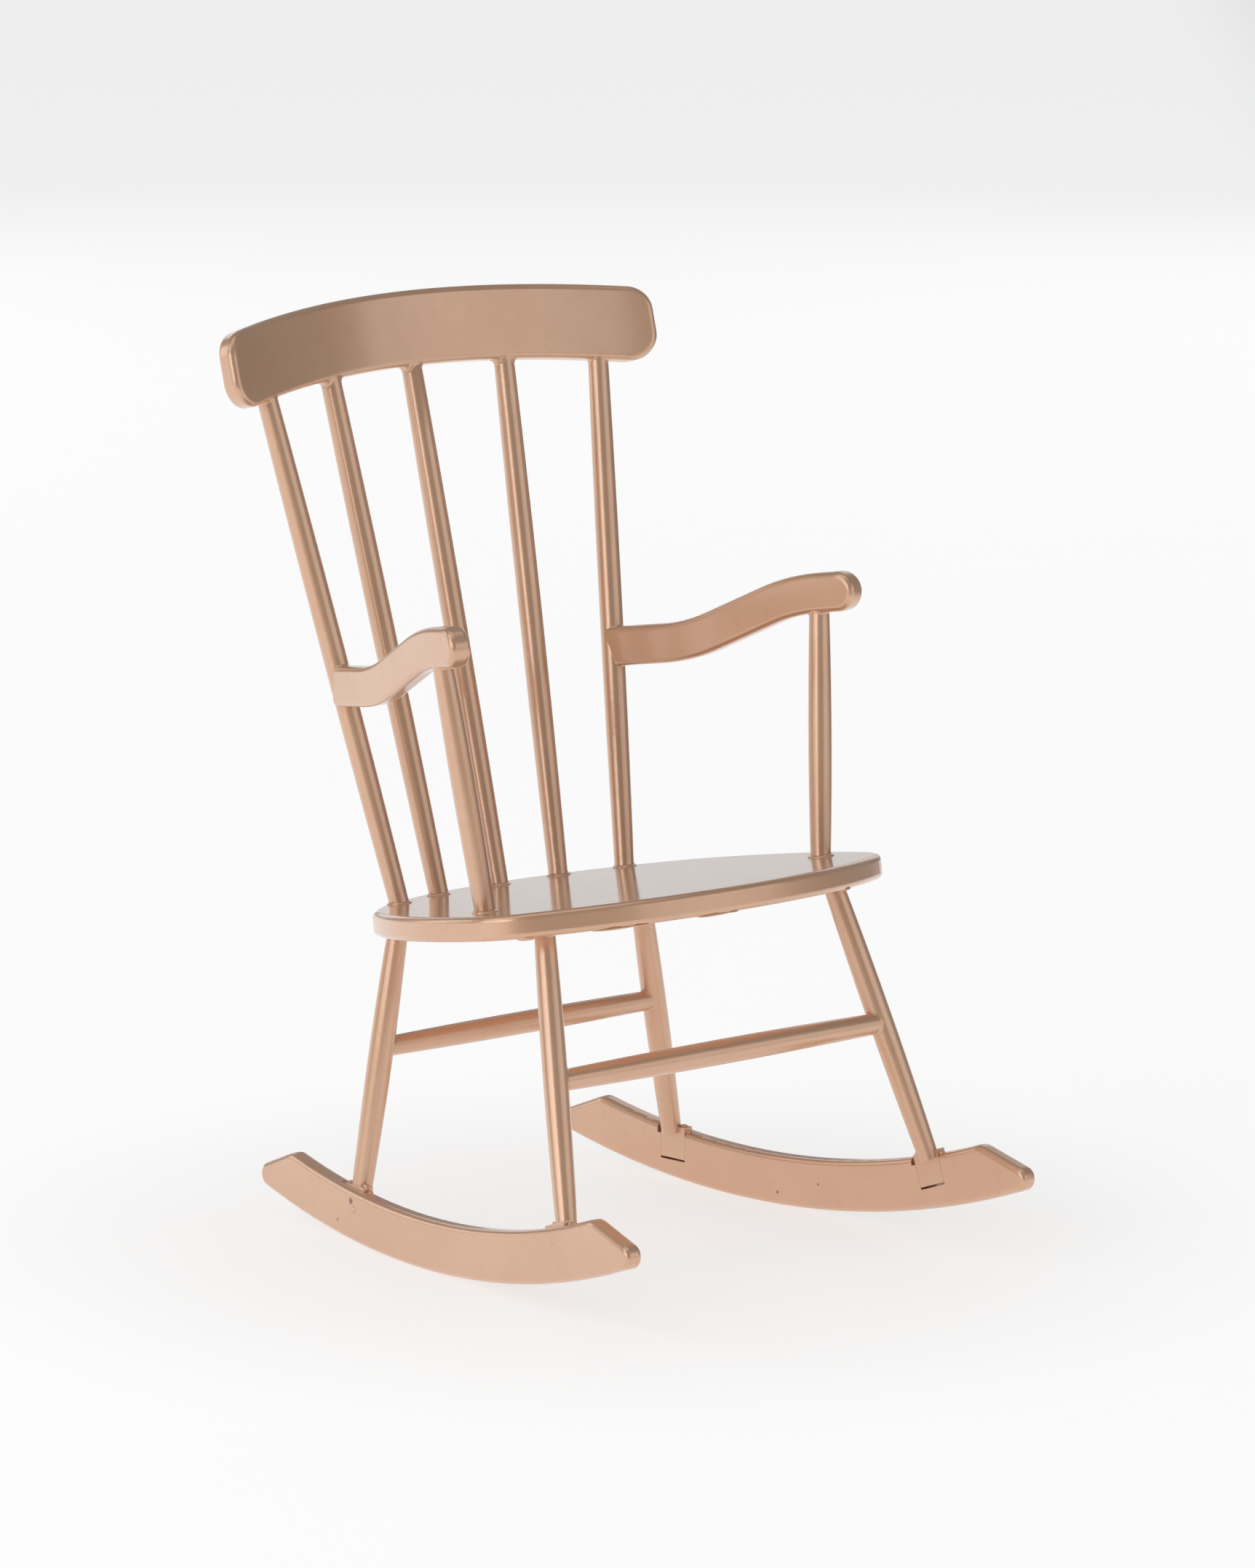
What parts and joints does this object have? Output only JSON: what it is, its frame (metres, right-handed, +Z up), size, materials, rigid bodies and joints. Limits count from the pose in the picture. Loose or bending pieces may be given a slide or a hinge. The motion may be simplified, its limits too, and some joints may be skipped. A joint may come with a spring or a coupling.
{
  "type": "rocking chair",
  "caption": "Miniature rocking chair: round-cornered seat, spindle back with a curved crest rail, rising arms, stretchers and a pair of toed-out rockers.",
  "frame": {"origin": "on the floor, at the middle of the chair's overall width and depth", "axes": "+X to the right seen from the front, the front faces -Y, +Z up"},
  "size_m": [0.0732, 0.0938, 0.1243],
  "materials": {
    "pearl_tan_paint": "satin metallic paint over solid metal"
  },
  "bodies": {
    "root": {"crest_rail": "pearl_tan_paint", "front_stretcher": "pearl_tan_paint", "left_arm": "pearl_tan_paint", "left_arm_post": "pearl_tan_paint", "left_front_leg": "pearl_tan_paint", "left_rear_leg": "pearl_tan_paint", "left_rocker": "pearl_tan_paint", "rear_stretcher": "pearl_tan_paint", "right_arm": "pearl_tan_paint", "right_arm_post": "pearl_tan_paint", "right_front_leg": "pearl_tan_paint", "right_rear_leg": "pearl_tan_paint", "right_rocker": "pearl_tan_paint", "seat": "pearl_tan_paint", "spindle_1": "pearl_tan_paint", "spindle_2": "pearl_tan_paint", "spindle_3": "pearl_tan_paint", "spindle_4": "pearl_tan_paint", "spindle_5": "pearl_tan_paint"}
  },
  "joints": []
}
